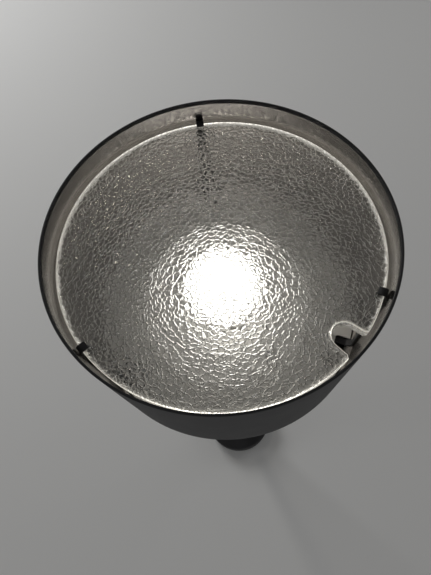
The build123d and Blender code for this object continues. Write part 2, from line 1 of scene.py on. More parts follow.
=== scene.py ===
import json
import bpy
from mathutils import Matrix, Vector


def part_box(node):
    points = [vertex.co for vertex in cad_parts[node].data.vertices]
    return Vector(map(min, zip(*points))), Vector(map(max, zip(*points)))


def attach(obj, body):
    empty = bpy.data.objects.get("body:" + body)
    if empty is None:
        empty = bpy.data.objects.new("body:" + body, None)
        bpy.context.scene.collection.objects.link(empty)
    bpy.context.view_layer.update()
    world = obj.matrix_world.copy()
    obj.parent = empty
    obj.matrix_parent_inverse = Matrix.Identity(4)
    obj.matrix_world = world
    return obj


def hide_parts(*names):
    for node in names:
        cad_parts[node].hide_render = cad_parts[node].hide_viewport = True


bl_info = {
    "name": "Upward Projector Table Lamp",
    "version": (1, 0, 0),
    "blender": (4, 5, 0),
    "location": "3D View > Sidebar > Lamp",
    "description": "Finishes of a mouth-up table lamp with a pebbled glass disc, made round its packed model",
    "category": "Add Mesh",
}

import bmesh
import bpy
import numpy as np
from mathutils import Matrix, Vector

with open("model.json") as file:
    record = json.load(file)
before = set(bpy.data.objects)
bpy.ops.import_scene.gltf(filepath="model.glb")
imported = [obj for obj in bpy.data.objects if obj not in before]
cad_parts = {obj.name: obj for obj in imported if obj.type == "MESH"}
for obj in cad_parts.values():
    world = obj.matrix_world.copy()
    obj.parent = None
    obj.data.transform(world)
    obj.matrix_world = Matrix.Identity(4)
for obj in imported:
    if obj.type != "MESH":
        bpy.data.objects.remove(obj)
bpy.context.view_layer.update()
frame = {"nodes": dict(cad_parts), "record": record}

# ---------------------------------------------------------------- places read from the frame
HEAD_LOW, HEAD_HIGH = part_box("head_shell")
GLASS_LOW, GLASS_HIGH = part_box("lens")
GLOBE_LOW, GLOBE_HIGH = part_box("bulb_globe")
CAP_LOW, CAP_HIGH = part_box("bulb_cap")
GLAND_LOW, GLAND_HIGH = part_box("cable_gland")
COLLAR_LOW, COLLAR_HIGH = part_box("head_collar")
STEM_LOW, STEM_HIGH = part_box("stem_tube")
COVER_LOW, COVER_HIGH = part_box("base_cover")
CLIP_LOW, CLIP_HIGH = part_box("lens_clip_1")

HEAD_RADIUS = HEAD_HIGH.x
MOUTH = HEAD_HIGH.z
GLASS_RADIUS = GLASS_HIGH.y
SLOTS = {entry["slot"]: entry for entry in frame["record"]["materials"]}
TURN = 2 * np.pi
CLIP_ANGLES = (99.0, 222.0, 341.0)  # degrees from +X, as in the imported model


def slot_colour(slot):
    """Base colour that the record gives a material slot."""
    return tuple(SLOTS[slot]["base_color"][:3])


# ---------------------------------------------------------------- sizes and colours that a user would change
def length(name, default, description):
    return bpy.props.FloatProperty(
        name=name, default=default, description=description, min=0.0, precision=5,
        subtype="DISTANCE", unit="LENGTH",
    )


def amount(name, default, description):
    return bpy.props.FloatProperty(name=name, default=default, description=description, min=0.0)


def colour(name, default, description):
    return bpy.props.FloatVectorProperty(
        name=name, default=default, description=description, subtype="COLOR", size=3, min=0.0, max=1.0,
    )


class LampGlassSettings(bpy.types.PropertyGroup):
    notch_diameter: length("Notch diameter", 0.0122, "Round inner end of the notch in the disc")
    notch_radius: length("Notch place", 0.0722, "From the disc's centre to the centre of the notch's end")
    notch_angle: bpy.props.FloatProperty(
        name="Notch angle", default=np.radians(-39.0), subtype="ANGLE", unit="ROTATION",
        description="Direction of the notch, counted from +X",
    )
    notch_corner: length("Notch corner", 0.0016, "Radius where the notch meets the disc's edge")
    edge_chamfer: length("Edge chamfer", 0.0006, "Flat ground along the disc's edges")
    pebble_size: length("Pebble size", 0.0023, "Mean distance between the pebbles of the rolled face")
    dome_height: length("Dome height", 0.00015, "Rise of a pebble's crown")
    crease_depth: length("Crease depth", 0.0003, "Depth of the creases between the pebbles")
    crease: length("Crease half width", 0.0003, "From the middle of a crease to the foot of a pebble's dome")
    frost: amount("Frost", 0.14, "How far the creases scatter light instead of letting it through")
    tint: colour("Tint", (0.57, 0.575, 0.575), "Colour of light that has passed through the glass")
    # painted glow: strength of the emission put on the glass's ground edge, standing in for light led through
    # the disc
    painted_edge_glow: amount("Edge glow", 0.55, "Strength of the light that leaves the ground edge")


class LampShellSettings(bpy.types.PropertyGroup):
    wall: length("Wall", 0.0012, "Thickness of the spun sheet")
    shoulder: length("Shoulder radius", 0.0016, "Outside corner between the drum and the cone")
    lip: length("Lip radius", 0.0004, "Rounding of the mouth's edge")
    cone_height: length("Cone height", 0.082, "From the collar up to the drum's lower edge")
    tube_hole: length("Tube hole", 0.0051, "Radius of the hole in the cone's floor")
    paint: colour("Paint", slot_colour("shell_paint"), "Powder coat outside")
    lining: colour("Lining", (0.26, 0.245, 0.232), "Bare satin metal inside")


class LampClipSettings(bpy.types.PropertyGroup):
    width: length("Clip width", 0.004, "Across the bent strip")
    thickness: length("Clip thickness", 0.001, "Sheet of the strip")
    bend: length("Clip bend", 0.0012, "Radius of the strip's bends, on its middle")
    corner: length("Clip corner", 0.00022, "Rounding along the strip's edges")
    leg: length("Leg place", 0.0804, "From the lamp's axis to the middle of a clip's leg")
    tab_end: length("Tab end", 0.0763, "From the lamp's axis to the end of a clip's tab")
    foot_end: length("Foot end", 0.06, "From the lamp's axis to the end of a clip's foot")
    lug_drop: length("Lug drop", 0.009, "From the middle of the tab down to the middle of the lug")


class LampStandSettings(bpy.types.PropertyGroup):
    cover_wall: length("Cover wall", 0.0015, "Sheet of the base's cover")
    cover_round: length("Cover rounding", 0.003, "Upper edge of the base's cover")
    cover_hole: length("Cover hole", 0.0081, "Radius of the cover's hole for the stem")
    stem_bore: length("Stem bore", 0.0065, "Radius of the bore of the stem")
    collar_bore: length("Collar bore", 0.0051, "Radius of the bore of the head's collar")
    edge: length("Edge", 0.0003, "Broken edges of the turned pieces")
    gland_bore: length("Gland bore", 0.0031, "Radius of the hole that a cord goes through")
    gland_neck: length("Gland neck", 0.0045, "Radius of the gland where it goes through the cover")


class LampLightSettings(bpy.types.PropertyGroup):
    glow: colour("Glow", (1.0, 0.965, 0.9), "Colour of the bulb's light")
    strength: amount("Strength", 5.0, "Brightness of the bulb's globe")
    globe_wall: length("Globe wall", 0.0011, "Thickness of the opal globe")
    cap_wall: length("Cap wall", 0.0003, "Sheet of the screw cap")
    thread_pitch: length("Thread pitch", 0.00282, "Rise of the screw cap's thread in one turn")
    thread_depth: length("Thread depth", 0.0007, "From the crest of the screw cap's thread to its root")


class LampStageSettings(bpy.types.PropertyGroup):
    floor: colour("Floor", (0.80, 0.80, 0.79), "Colour of the floor")
    sky: amount("Sky", 0.1, "Brightness of the room as it lights matt surfaces")
    backdrop: amount("Backdrop", 0.25, "Brightness of the room as the camera, metal and glass see it")
    lamps: amount("Lamps", 1.0, "Scale of the soft boxes' power")


# ---------------------------------------------------------------- surfaces on numpy grids
def make_mesh(name, points, *face_arrays):
    """Smooth mesh object from an array of points and arrays of faces. The faces of one array all have the same
    number of corners."""
    faces = [np.asarray(rows, dtype=np.int32) for rows in face_arrays]
    sizes = np.concatenate([np.full(len(rows), rows.shape[1]) for rows in faces])
    corners = np.concatenate([rows.ravel() for rows in faces])
    mesh = bpy.data.meshes.new(name)
    mesh.vertices.add(len(points))
    mesh.vertices.foreach_set("co", np.asarray(points, dtype=np.float32).ravel())
    mesh.loops.add(len(corners))
    mesh.loops.foreach_set("vertex_index", corners)
    mesh.polygons.add(len(sizes))
    mesh.polygons.foreach_set("loop_start", np.cumsum(sizes) - sizes)
    mesh.polygons.foreach_set("use_smooth", np.ones(len(sizes), dtype=bool))
    mesh.update(calc_edges=True)
    mesh.validate()
    piece = bpy.data.objects.new(name, mesh)
    bpy.context.scene.collection.objects.link(piece)
    return piece


def welded(piece):
    """Merges the points that fall together, as at a pole, which closes it."""
    form = bmesh.new()
    form.from_mesh(piece.data)
    bmesh.ops.remove_doubles(form, verts=form.verts, dist=1e-7)
    form.to_mesh(piece.data)
    form.free()
    return piece


def grid_quads(rows, columns, close_rows=False, start=0):
    """Quads of a grid whose columns close in a ring; with close_rows its last row joins the first too. The
    grid's first point has the index start."""
    row, column = np.meshgrid(np.arange(rows if close_rows else rows - 1), np.arange(columns), indexing="ij")
    up, across = (row + 1) % rows, (column + 1) % columns
    quads = [row * columns + column, row * columns + across, up * columns + across, up * columns + column]
    return start + np.stack(quads, axis=-1).reshape(-1, 4)


def attribute(piece, name, values):
    """Float attribute with one value for each vertex."""
    layer = piece.data.attributes.new(name, "FLOAT", "POINT")
    layer.data.foreach_set("value", np.asarray(values, dtype=np.float32))


def rounded(corners, steps=8):
    """Closed outline through corners given as (x, y, radius). Each radius is an arc of so many steps that
    touches both sides: its first spoke turns into its last. A straight corner stays one point."""
    straight = 1.57
    outline = []
    for index, (x, y, radius) in enumerate(corners):
        corner = np.array([x, y])
        before = np.array(corners[index - 1][:2]) - corner
        after = np.array(corners[(index + 1) % len(corners)][:2]) - corner
        before, after = before / np.linalg.norm(before), after / np.linalg.norm(after)
        half = np.arccos(np.clip(before @ after, -1, 1)) / 2
        if radius == 0 or half > straight:
            outline.append(corner[None])
            continue
        middle = corner + (before + after) / np.linalg.norm(before + after) * radius / np.sin(half)
        first = corner + before * radius / np.tan(half) - middle
        last = corner + after * radius / np.tan(half) - middle
        sweep = np.pi - 2 * half
        share = np.linspace(0, 1, steps)[:, None]
        spokes = np.sin((1 - share) * sweep) * first + np.sin(share * sweep) * last
        outline.append(middle + spokes / np.sin(sweep))
    return np.concatenate(outline)


def spread(outline, step, closed=True):
    """Outline with points added along its longer sides, one to two steps apart."""
    ends = np.roll(outline, -1, axis=0)
    if not closed:
        ends[-1] = outline[-1]
    runs = []
    for first, last in zip(outline, ends):
        count = max(int(np.linalg.norm(last - first) / step), 1)
        runs.append(first + (last - first) * np.linspace(0, 1, count, endpoint=False)[:, None])
    return np.concatenate(runs)


def revolved(name, outline, segments=256):
    """Ring turned about the lamp's axis: point = (radius cos t, radius sin t, height) for each outline point
    (radius, height), with the outline listed counterclockwise so that the faces point outwards."""
    turn = np.linspace(0, TURN, segments, endpoint=False)
    radius, height = outline[:, :1], outline[:, 1:]
    points = np.stack([radius * np.cos(turn), radius * np.sin(turn), height + 0 * turn], axis=-1)
    return make_mesh(name, points.reshape(-1, 3), grid_quads(len(outline), segments, close_rows=True))


def carried(path, outline, turn):
    """Points and faces of a strip along a path of (radius, height) in the plane that stands at a turn about
    the lamp's axis: point = path point + out * normal, and aside from the plane, for each outline point
    (aside, out). Each end closes in a smaller ring and then in one point."""
    smaller = 0.8
    run = np.gradient(path, axis=0)
    normal = np.stack([-run[:, 1], run[:, 0]], axis=-1) / np.linalg.norm(run, axis=1)[:, None]
    rings = np.array([0, 0, *range(len(path)), -1, -1])
    size = np.array([0.0, smaller, *np.ones(len(path)), smaller, 0.0])[:, None]
    aside, out = size * outline[:, 0], size * outline[:, 1]
    radius = path[rings, :1] + normal[rings, :1] * out
    height = path[rings, 1:] + normal[rings, 1:] * out
    x = radius * np.cos(turn) - aside * np.sin(turn)
    y = radius * np.sin(turn) + aside * np.cos(turn)
    return np.stack([x, y, height], axis=-1).reshape(-1, 3), grid_quads(len(rings), len(outline))


def made_of(name, *parts):
    """One mesh object of several parts, each given as its points and faces."""
    starts = np.cumsum([0] + [len(points) for points, _ in parts])
    return welded(make_mesh(name, np.concatenate([points for points, _ in parts]),
                            *[faces + start for (_, faces), start in zip(parts, starts)]))


# ---------------------------------------------------------------- shader maths as Python expressions
class Socket:
    """An output socket that takes part in arithmetic: each operation on it adds a Math node."""

    def __init__(self, shader, output):
        self.shader = shader
        self.output = output

    def math(self, operation, *values):
        sockets = dict(enumerate(values))
        return self.shader.add("ShaderNodeMath", {"operation": operation}, sockets)

    def __add__(self, other):
        return self.math("ADD", self, other)

    def __sub__(self, other):
        return self.math("SUBTRACT", self, other)

    def __rsub__(self, other):
        return self.math("SUBTRACT", other, self)

    def __mul__(self, other):
        return self.math("MULTIPLY", self, other)

    __radd__ = __add__

    def above(self, edge, softness):
        """0 below an edge and 1 above it, over a soft step."""
        return self.shader.add("ShaderNodeMapRange", {"interpolation_type": "SMOOTHSTEP"},
                               {"Value": self, "From Min": edge - softness, "From Max": edge + softness})


class Shader:
    """The nodes of a material or a world. Every node comes from add; surface ends a material's tree in a
    Principled shader."""

    def __init__(self, name, kind="materials"):
        self.material = getattr(bpy.data, kind).new(name)
        self.material.use_nodes = True
        self.tree = self.material.node_tree
        self.tree.nodes.clear()
        self.place = self.add("ShaderNodeTexCoord", output="Object")

    def add(self, kind, settings=None, sockets=None, output=0):
        """Output of a new node of a kind, which gets its settings first, then its sockets' values or links."""
        node = self.tree.nodes.new(kind)
        for key, value in (settings or {}).items():
            setattr(node, key, value)
        for key, value in (sockets or {}).items():
            if isinstance(value, Socket):
                self.tree.links.new(value.output, node.inputs[key])
            elif node.inputs[key].type == "RGBA":
                node.inputs[key].default_value = (*value, 1.0)
            else:
                node.inputs[key].default_value = value
        return None if output is None else Socket(self, node.outputs[output])

    def noise(self, size, detail=2.0, rough=0.5, place=None):
        """Noise from 0 to 1 whose blotches are about size metres across."""
        return self.add("ShaderNodeTexNoise", None, {
            "Vector": place or self.place, "Scale": 1 / size, "Detail": detail, "Roughness": rough})

    def cells(self, size, feature="F1", place=None):
        """Distance to the nearest point, or edge, of cells about size metres across."""
        return self.add("ShaderNodeTexVoronoi", {"feature": feature},
                        {"Vector": place or self.place, "Scale": 1 / size})

    def mix(self, share, low, high):
        """Colour between two colours."""
        return self.add("ShaderNodeMix", {"data_type": "RGBA"}, {0: share, 6: low, 7: high}, output=2)

    def bump(self, height, distance, strength=1.0):
        """Normal from a height in metres times distance."""
        sockets = {"Height": height, "Distance": distance, "Strength": strength}
        return self.add("ShaderNodeBump", None, sockets)

    def surface(self, **values):
        """Principled shader as the material's surface; underscores in the names stand for spaces."""
        sockets = {key.replace("_", " "): value for key, value in values.items()}
        return self.finished(self.add("ShaderNodeBsdfPrincipled", None, sockets))

    def finished(self, shader, end="ShaderNodeOutputMaterial"):
        """The material or world, with a shader as its surface."""
        self.add(end, None, {"Surface": shader}, output=None)
        return self.material


def scaled(shade, factor):
    """Colour made lighter or darker by a factor."""
    return tuple(min(channel * factor, 1.0) for channel in shade)


# ---------------------------------------------------------------- finishes
def powder_coat(name, shade, grain=0.0007):
    """Matte powder coat: fine orange peel, faint mottling and a few handling marks."""
    coat = Shader(name)
    mottle = coat.noise(0.02, 4.0)
    peel = coat.noise(grain, 3.0, 0.6)
    rubbed = coat.noise(0.006, 6.0, 0.7).above(0.63, 0.06)
    return coat.surface(
        Base_Color=coat.mix(mottle * 0.6 + rubbed * 0.4, scaled(shade, 0.35), scaled(shade, 1.2)),
        Roughness=0.5 + mottle * 0.12 - rubbed * 0.08,
        Specular_IOR_Level=0.25,
        Normal=coat.bump(peel, 0.00006, 0.6),
    )


def metal(name, shade, rough=0.32, streak=0.0004):
    """Plated or bare metal: fine brushed streaks round the axis, with dull spots."""
    plate = Shader(name)
    stretched = plate.add("ShaderNodeMapping", None, {"Vector": plate.place, "Scale": (1.0, 1.0, 14.0)})
    streaks = plate.noise(streak * 14, 3.0, 0.6, stretched)
    dull = plate.noise(0.004, 4.0)
    return plate.surface(
        Base_Color=plate.mix(dull, scaled(shade, 0.82), scaled(shade, 1.08)),
        Metallic=1.0,
        Roughness=rough - 0.08 + dull * 0.14 + streaks * 0.06,
        Normal=plate.bump(streaks, 0.00002, 0.4),
    )


def cast_iron(name, shade):
    """Sand-cast iron: pitted grain with patches of dark scale."""
    iron = Shader(name)
    pits = iron.cells(0.0011)
    scale = iron.noise(0.008, 5.0)
    return iron.surface(
        Base_Color=iron.mix(scale, scaled(shade, 0.6), scaled(shade, 1.6)),
        Metallic=0.6,
        Roughness=0.62 + scale * 0.2,
        Normal=iron.bump(pits, 0.0002, 0.6),
    )


def moulded(name, shade, rough=0.42, grain=0.0005, coat=0.0):
    """Moulded plastic or ceramic: even colour with a faint cloud and fine mould grain."""
    body = Shader(name)
    cloud = body.noise(0.012, 3.0)
    skin = body.noise(grain, 2.0)
    return body.surface(
        Base_Color=body.mix(cloud, scaled(shade, 0.9), scaled(shade, 1.08)),
        Roughness=rough - 0.05 + cloud * 0.1,
        Coat_Weight=coat,
        Normal=body.bump(skin, 0.00003, 0.5),
    )


def foam(name, shade, cell=0.0006):
    """Closed-cell foam or soft rubber: small dimples, with painted shade that darkens their hollows."""
    pad = Shader(name)
    dimples = pad.cells(cell)
    cloud = pad.noise(0.01, 3.0)
    return pad.surface(
        # the colour darkens towards each dimple's hollow: painted shade
        Base_Color=pad.mix(cloud * 0.5 + dimples * 0.4, scaled(shade, 0.6), scaled(shade, 1.8)),
        Roughness=0.85,
        Normal=pad.bump(dimples, 0.00025, 0.7),
    )


def satin_tray(name, shade):
    """Pale satin coating on the pressed tray: faint press rings round the axis."""
    tray = Shader(name)
    cloud = tray.noise(0.015, 3.0)
    rings = tray.add("ShaderNodeTexWave", {"wave_type": "RINGS", "rings_direction": "Z"},
                     {"Vector": tray.place, "Scale": 160.0, "Distortion": 0.6, "Detail": 2.0})
    return tray.surface(
        Base_Color=tray.mix(cloud, scaled(shade, 0.92), scaled(shade, 1.05)),
        Roughness=0.3 + cloud * 0.1,
        Metallic=0.65,
        Normal=tray.bump(rings, 0.00002, 0.4),
    )


def shell_finish(settings):
    """Powder coat outside and bare spun metal inside; the attribute inside tells the two apart."""
    shell = Shader("shell_finish")
    inside = shell.add("ShaderNodeAttribute", {"attribute_name": "inside"}, output="Fac").above(0.5, 0.05)
    mottle = shell.noise(0.02, 4.0)
    peel = shell.noise(0.0007, 3.0, 0.6)
    flat = shell.add("ShaderNodeMapping", None, {"Vector": shell.place, "Scale": (1.0, 1.0, 30.0)})
    rings = shell.noise(0.012, 4.0, 0.65, flat)
    painted = shell.mix(mottle, scaled(settings.paint, 0.35), scaled(settings.paint, 0.9))
    bare = shell.mix(rings, scaled(settings.lining, 0.8), scaled(settings.lining, 1.15))
    return shell.surface(
        Base_Color=shell.mix(inside, painted, bare),
        Metallic=inside,
        Roughness=0.5 + mottle * 0.12 - inside * 0.37 + rings * inside * 0.08,
        Specular_IOR_Level=0.25,
        Normal=shell.bump(peel * (1 - inside) + rings * inside * 0.7, 0.00006, 0.6),
    )


def pebbled_glass(settings):
    """Clear glass whose rolled face is covered in pebbles: height = crease depth * d v (2 - v) + dome height *
    u (2 - u), for v and u = distance to the nearest crease over the crease's and the dome's half width, each 1
    at most, and a d that drifts about 1. The creases' bottoms are frosted. The ground edge has a painted glow:
    an emission on the glass that stands in for the light that the disc leads to its edge."""
    glass = Shader("pebbled_glass")
    edge = glass.add("ShaderNodeAttribute", {"attribute_name": "ground_edge"}, output="Fac")
    top = glass.add("ShaderNodeAttribute", {"attribute_name": "rolled_face"}, output="Fac")
    pebble = settings.pebble_size
    drift = glass.add("ShaderNodeTexNoise", None, {
        "Vector": glass.place, "Scale": 0.8 / pebble, "Detail": 3.0, "Roughness": 0.6}, output="Color")
    wander = glass.add("ShaderNodeVectorMath", {"operation": "SCALE"}, {0: drift, "Scale": pebble})
    bent = glass.add("ShaderNodeVectorMath", {"operation": "ADD"}, {0: glass.place, 1: wander})
    flat = glass.add("ShaderNodeVectorMath", {"operation": "MULTIPLY"}, {0: bent, 1: (1.0, 1.0, 0.0)})
    reach = glass.cells(pebble, "DISTANCE_TO_EDGE", flat)
    wide = reach * (pebble / settings.crease)
    crease = wide.math("MINIMUM", wide, 1.0)
    dome = reach.math("MINIMUM", reach * 2.2, 1.0)
    depth = 0.4 + glass.noise(0.004, 2.0) * 1.1
    height = crease * (2 - crease) * settings.crease_depth * depth + dome * (2 - dome) * settings.dome_height
    # patches in the strength of the painted edge glow
    warm = glass.noise(0.003, 2.0)
    clear = glass.add("ShaderNodeBsdfPrincipled", None, {
        "Base Color": glass.mix(edge, settings.tint, (0.9, 0.89, 0.84)),
        "Roughness": 0.03 + edge * 0.4,
        "IOR": 1.5,
        "Transmission Weight": 1.0,
        # painted glow: the ground edge emits light of its own, standing in for the light the disc leads to it
        "Emission Color": glass.mix(edge * (0.4 + warm * 0.6), (0.0, 0.0, 0.0), (1.0, 0.95, 0.84)),
        "Emission Strength": settings.painted_edge_glow,
        "Normal": glass.bump(height * top, 1.0),
    })
    frost = glass.add("ShaderNodeBsdfTranslucent", None, {"Color": (0.96, 0.96, 0.93)})
    share = (1 - wide.above(0.35, 0.3)) * depth * top * settings.frost
    return glass.finished(glass.add("ShaderNodeMixShader", None, {0: share, 1: clear, 2: frost}))


def opal_globe(settings):
    """Opal globe, lit from inside."""
    globe = Shader("opal_globe")
    cloud = globe.noise(0.01, 2.0)
    return globe.surface(
        Base_Color=slot_colour("bulb_opal"),
        Roughness=0.35,
        Emission_Color=globe.mix(cloud, scaled(settings.glow, 0.97), settings.glow),
        Emission_Strength=settings.strength,
    )


def slot_finishes():
    """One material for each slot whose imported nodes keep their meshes."""
    return {
        "tray_paint": satin_tray("tray_coating", slot_colour("tray_paint")),
        "zinc_steel": metal("zinc_plate", slot_colour("zinc_steel")),
        "iron": cast_iron("cast_iron", slot_colour("iron")),
        "pad_foam": foam("foam", slot_colour("pad_foam")),
        "soft_black": foam("silicone", slot_colour("soft_black"), 0.0003),
        "brass": metal("brass", slot_colour("brass"), 0.28),
        "solder": metal("solder", slot_colour("solder"), 0.4),
        "holder_black": moulded("holder_plastic", slot_colour("holder_black")),
        "steatite": moulded("steatite", slot_colour("steatite"), 0.6, 0.0003),
        "vitrite": moulded("vitrite", slot_colour("vitrite"), 0.12, 0.001, 0.5),
        "bulb_white": moulded("bulb_housing_plastic", slot_colour("bulb_white"), 0.38),
        "board_white": moulded("board_resist", slot_colour("board_white"), 0.3, 0.0008, 0.3),
        "plastic_clear_white": moulded("terminal_nylon", slot_colour("plastic_clear_white"), 0.35),
        "lead_sleeve": moulded("lead_insulation", slot_colour("lead_sleeve"), 0.3, 0.0003),
    }


def finish(piece, material, body, slot, *nodes):
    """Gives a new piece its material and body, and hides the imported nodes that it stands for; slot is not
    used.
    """
    piece.data.materials.append(material)
    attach(piece, body)
    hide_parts(*nodes)


# ---------------------------------------------------------------- glass disc
def glass_outline(settings, inset, columns):
    """Outline of the notched disc, drawn in by an inset. In the notch's own axes its upper half is the arc of
    the round end, the straight radial side, the corner arc and half of the rim, and the lower half mirrors it.
    It starts at the middle of the round end, and its points are evenly spaced along its length."""
    hole, place, corner = settings.notch_diameter / 2, settings.notch_radius, settings.notch_corner
    lean = np.arcsin(hole / place)
    aside = np.array([-np.sin(lean), np.cos(lean)])
    ahead = aside[::-1] * (1, -1)
    heart = ahead * np.sqrt((GLASS_RADIUS - corner) ** 2 - corner ** 2) + aside * corner
    heart_turn = np.arctan2(heart[1], heart[0])
    fine = 0.00005

    def arc(middle, radius, first, last, full_radius):
        turn = np.linspace(first, last, int(full_radius * abs(last - first) / fine))
        return np.asarray(middle) + radius * np.stack([np.cos(turn), np.sin(turn)], axis=-1)

    end = arc((place, 0), hole + inset, np.pi, np.pi / 2 + lean, hole)
    bend = arc(heart, corner - inset, lean - np.pi / 2, heart_turn, corner)
    rim = arc((0, 0), GLASS_RADIUS - inset, heart_turn, np.pi, GLASS_RADIUS)
    share = np.linspace(0, 1, int((GLASS_RADIUS - place) / fine))[:, None]
    side = end[-1] + (bend[0] - end[-1]) * share
    upper = np.concatenate([end, side, bend, rim])
    outline = np.concatenate([upper, upper[-2:0:-1] * (1, -1)])
    outline = outline[np.linspace(0, len(outline), columns, endpoint=False).astype(int)]
    return turned_by(outline, settings.notch_angle)


def turned_by(points, angle):
    """Points in plan, turned about the origin."""
    c, s = np.cos(angle), np.sin(angle)
    return points @ np.array([[c, s], [-s, c]])


def square_to_disc(count):
    """Even grid on the unit disc: each ring of a square grid becomes a circle of the same half width. The
    border, walked from index 0, starts at 225 degrees and goes counterclockwise in even steps."""
    a, b = np.meshgrid(np.linspace(-1, 1, count), np.linspace(-1, 1, count), indexing="ij")
    wide = np.abs(a) > np.abs(b)
    radius = np.where(wide, a, b)
    ratio = np.divide(np.where(wide, b, a), radius, out=np.zeros_like(radius), where=radius != 0)
    turn = np.where(wide, ratio * np.pi / 4, np.pi / 2 - ratio * np.pi / 4)
    return np.stack([radius * np.cos(turn), radius * np.sin(turn)], axis=-1).reshape(-1, 2)


class LAMP_OT_glass(bpy.types.Operator):
    """Adds the pebbled glass disc with its notch and ground edge"""
    bl_idname = "lamp.glass"
    bl_label = "Glass Disc"

    def execute(self, context):
        settings = context.scene.lamp_glass
        chamfer = settings.edge_chamfer
        bottom, top = GLASS_LOW.z, GLASS_HIGH.z
        count, rings = 65, 12
        columns = 4 * (count - 1)
        # the middle is a square grid, and its border is the first ring of the part that meets the outline
        reach = 0.73
        start = settings.notch_angle - np.radians(225)
        middle = turned_by(square_to_disc(count), start) * GLASS_RADIUS * reach
        step = np.arange(count - 1)
        border = np.concatenate([step * count, (count - 1) * count + step,
                                 count * count - 1 - step * count, count - 1 - step])
        face = glass_outline(settings, chamfer, columns)
        rim = glass_outline(settings, 0.0, columns)
        share = np.linspace(0, 1, rings + 1)[1:, None, None]
        outer = (middle[border] * (1 - share) + face * share).reshape(-1, 2)
        rolled = np.concatenate([middle, outer])
        levels = [(rim, top - chamfer), (rim, top - 2 * chamfer), (rim, bottom + chamfer), (face, bottom),
                  (middle[border], bottom)]
        points = np.concatenate(
            [np.column_stack([rolled, np.full(len(rolled), top)])]
            + [np.column_stack([ring, np.full(columns, height)]) for ring, height in levels]
            + [[[0.0, 0.0, bottom]]])
        row, column = np.meshgrid(np.arange(count - 1), np.arange(count - 1), indexing="ij")
        corner = (row * count + column).reshape(-1, 1)
        square = corner + [0, count, count + 1, 1]
        first = grid_quads(2, columns)
        joint = np.where(first < columns, border[first % columns], len(middle) + first % columns)[:, ::-1]
        rows = rings + len(levels)
        shell = grid_quads(rows, columns, start=len(middle))[:, ::-1]
        last = len(points) - 1 - columns + np.arange(columns)
        fan = np.column_stack([last, np.full(columns, len(points) - 1), np.roll(last, -1)])
        glass = make_mesh("glass_disc", points, square, joint, shell, fan)
        # the rim is ground all the way down, and the notch only along its upper corner; the same mask sets how
        # strongly the painted edge glow shines
        near = 0.0004
        on_rim = np.linalg.norm(rim, axis=1) > GLASS_RADIUS - near
        ground = np.zeros(len(points))
        ground[len(rolled) - columns:len(rolled)] = 0.25
        ground[len(rolled):len(rolled) + columns] = 1.0
        ground[len(rolled) + columns:len(rolled) + 3 * columns] = np.tile(np.where(on_rim, 0.6, 0.0), 2)
        attribute(glass, "ground_edge", ground)
        attribute(glass, "rolled_face", np.arange(len(points)) < len(rolled))
        # the two faces are flat, so only the ground edge shades smoothly
        before = len(square) + len(joint) + (rings - 1) * columns
        smooth = np.zeros(len(glass.data.polygons), dtype=bool)
        smooth[before:before + 4 * columns] = True
        glass.data.polygons.foreach_set("use_smooth", smooth)
        finish(glass, pebbled_glass(settings), "glass", "lens_glass", "lens")
        return {"FINISHED"}


# ---------------------------------------------------------------- head
class LAMP_OT_head(bpy.types.Operator):
    """Adds the spun head: a floor, a cone, a rounded shoulder and a drum of one wall"""
    bl_idname = "lamp.head"
    bl_label = "Spun Head"

    def execute(self, context):
        settings = context.scene.lamp_shell
        wall = settings.wall
        small, step = 0.0003, 0.003
        bottom, shoulder = HEAD_LOW.z, HEAD_LOW.z + settings.cone_height
        waist = COLLAR_HIGH.x
        lean = np.arctan2(HEAD_RADIUS - waist, settings.cone_height)
        bore = HEAD_RADIUS - wall

        def cone_inside(height):
            return waist + (height - bottom) * np.tan(lean) - wall / np.cos(lean)

        inner_shoulder = bottom + (bore - waist + wall / np.cos(lean)) / np.tan(lean)
        outline = spread(rounded([
            (settings.tube_hole, bottom, 0),
            (waist, bottom, small),
            (HEAD_RADIUS, shoulder, settings.shoulder),
            (HEAD_RADIUS, MOUTH, settings.lip),
            (bore, MOUTH, settings.lip),
            (bore, inner_shoulder, settings.shoulder / 2),
            (cone_inside(bottom + wall), bottom + wall, small),
            (settings.tube_hole, bottom + wall, 0),
        ]), step)
        head = revolved("spun_head", outline)
        outside = np.minimum(waist + (outline[:, 1] - bottom) * np.tan(lean), HEAD_RADIUS)
        inside = (outside - outline[:, 0] > 0.9 * wall) & (outline[:, 1] < MOUTH - 2 * settings.lip)
        attribute(head, "inside", np.repeat(inside, len(head.data.vertices) // len(outline)))
        finish(head, shell_finish(settings), "lamp", "shell_paint", "head_shell")
        return {"FINISHED"}


